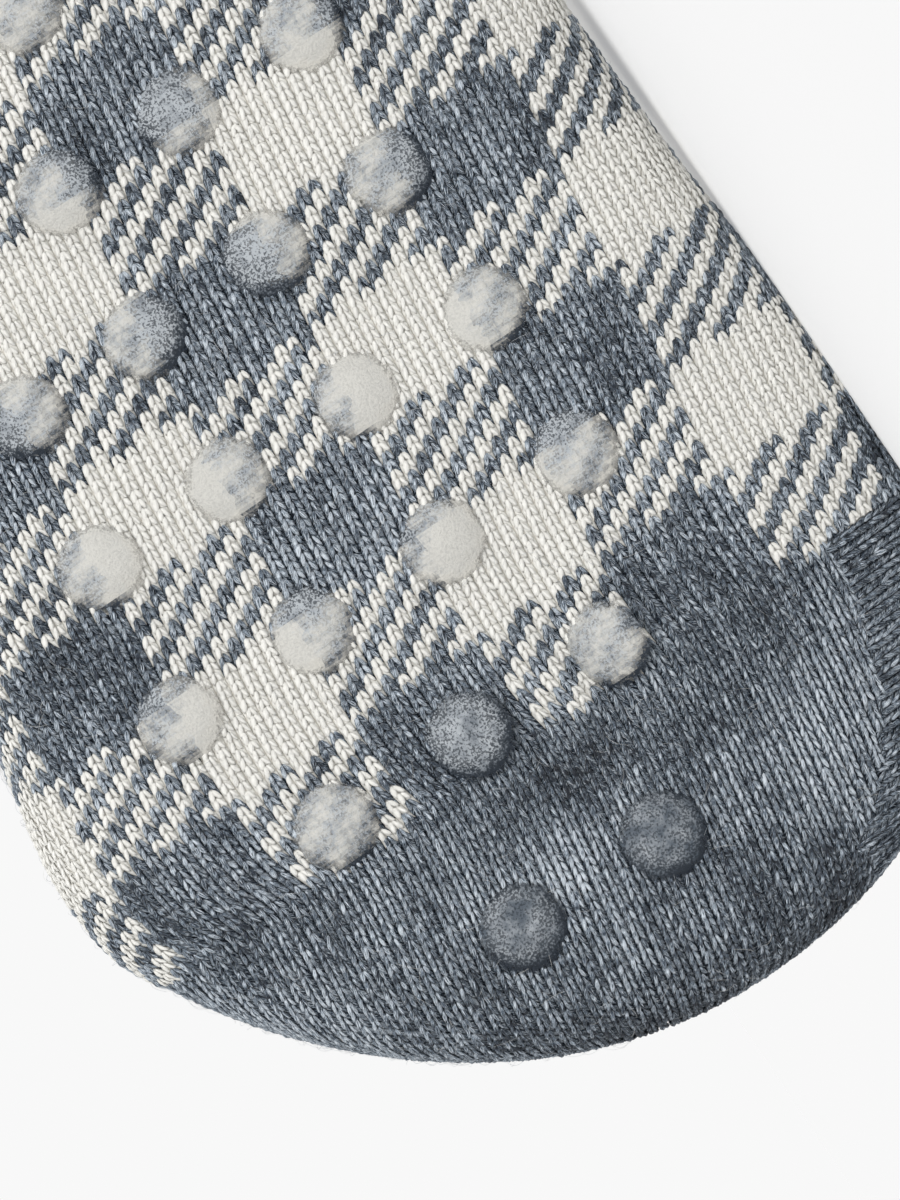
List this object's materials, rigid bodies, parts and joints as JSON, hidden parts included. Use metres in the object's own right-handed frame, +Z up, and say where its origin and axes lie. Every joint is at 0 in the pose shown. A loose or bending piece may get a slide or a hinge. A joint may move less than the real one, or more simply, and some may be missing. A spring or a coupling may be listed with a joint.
{
  "type": "slipper sock",
  "caption": "Hollow knitted slipper sock with a shaped heel and toe, a ribbed cuff and silicone grip dots on its sole, empty and lying on its side.",
  "frame": {"origin": "on the floor, under the middle of the sock's box as it lies on its side", "axes": "-X from heel to toe, -Y out of the sole, +Y along the leg to the collar, +Z up from the floor"},
  "size_m": [0.24, 0.1758, 0.0904],
  "materials": {
    "knit": "soft plain knit in marl blue-grey and cream yarn, gingham check, plain marl heel, toe and ribbed cuff",
    "linking_thread": "linked row of marl yarn",
    "silicone": "frosted, translucent, softly glossy"
  },
  "bodies": {
    "root": {"knitted_sock": "knit", "toe_seam": "linking_thread", "grip_dot_01": "silicone", "grip_dot_02": "silicone", "grip_dot_03": "silicone", "grip_dot_04": "silicone", "grip_dot_05": "silicone", "grip_dot_06": "silicone", "grip_dot_07": "silicone", "grip_dot_08": "silicone", "grip_dot_09": "silicone", "grip_dot_10": "silicone", "grip_dot_11": "silicone", "grip_dot_12": "silicone", "grip_dot_13": "silicone", "grip_dot_14": "silicone", "grip_dot_15": "silicone", "grip_dot_16": "silicone", "grip_dot_17": "silicone", "grip_dot_18": "silicone", "grip_dot_19": "silicone", "grip_dot_20": "silicone", "grip_dot_21": "silicone", "grip_dot_22": "silicone", "grip_dot_23": "silicone", "grip_dot_24": "silicone", "grip_dot_25": "silicone", "grip_dot_26": "silicone", "grip_dot_27": "silicone", "grip_dot_28": "silicone", "grip_dot_29": "silicone", "grip_dot_30": "silicone", "grip_dot_31": "silicone", "grip_dot_32": "silicone", "grip_dot_33": "silicone", "grip_dot_34": "silicone", "grip_dot_35": "silicone", "grip_dot_36": "silicone", "grip_dot_37": "silicone", "grip_dot_38": "silicone", "grip_dot_39": "silicone", "grip_dot_40": "silicone", "grip_dot_41": "silicone", "grip_dot_42": "silicone", "grip_dot_43": "silicone"}
  },
  "joints": []
}
